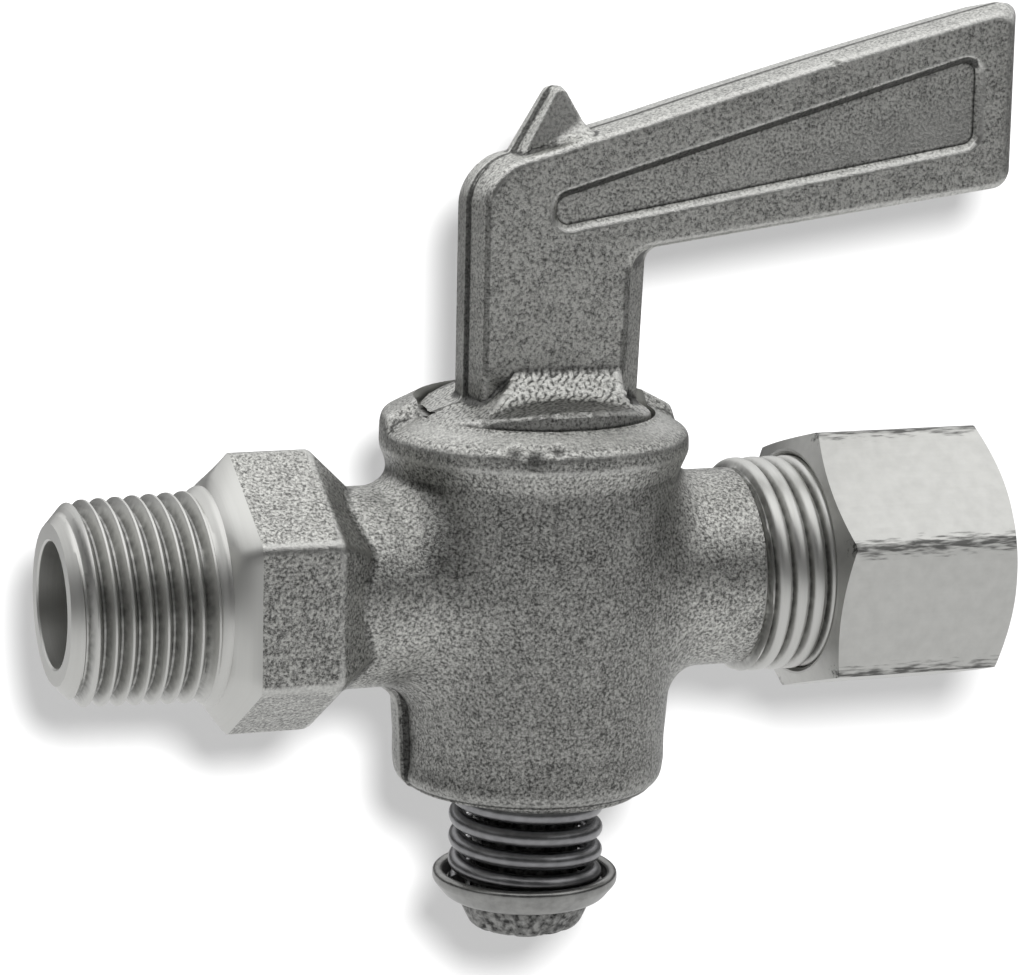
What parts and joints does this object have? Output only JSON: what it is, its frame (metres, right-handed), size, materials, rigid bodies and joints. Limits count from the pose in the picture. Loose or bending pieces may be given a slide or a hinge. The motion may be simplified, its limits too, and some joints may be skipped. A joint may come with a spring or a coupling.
{
  "type": "ground plug shut-off cock",
  "caption": "Lever-handled tapered-plug shut-off cock with a male taper pipe thread and hexagon on one side and a compression tube nut on the other.",
  "frame": {"origin": "centre of the face of the male pipe end, on the pipe axis", "axes": "+X along the pipe axis from the pipe end to the tube end, +Z along the plug axis towards the lever, +Y to the back as the picture sees it"},
  "size_m": [0.0845, 0.026, 0.0785],
  "materials": {
    "forged_brass": "as forged, fine sand texture, worn grey; threads and turned faces bright",
    "forged_brass_lever": "as forged, fine sand texture, worn grey",
    "spring_wire": "drawn wire, dull",
    "pressed_brass": "pressed, dull",
    "turned_brass": "turned, smooth",
    "milled_brass": "bar stock, smooth satin"
  },
  "bodies": {
    "body": {"valve_body": "forged_brass"},
    "plug": {"plug_lever": "forged_brass_lever", "cup_washer": "pressed_brass", "plug_spring": "spring_wire"},
    "tube_sleeve": {"sleeve": "turned_brass"},
    "nut": {"tube_nut": "milled_brass"}
  },
  "joints": [
    {"name": "lever_turn", "type": "hinge", "parent": "body", "child": "plug", "pos_m": [0.0413, 0, 0], "axis": [0, 0, 1], "range_deg": [0, 90]},
    {"name": "nut_travel", "type": "slide", "parent": "body", "child": "tube_sleeve", "axis": [1, 0, 0], "range_m": [0, 0.008]},
    {"name": "nut_turn", "type": "hinge", "parent": "tube_sleeve", "child": "nut", "pos_m": [0.0733, 0, 0], "axis": [1, 0, 0], "range_deg": [0, 1800]}
  ],
  "couplings": [
    {"joint": "nut_travel", "follows": "nut_turn", "m_per_rad": 0.00025465}
  ]
}
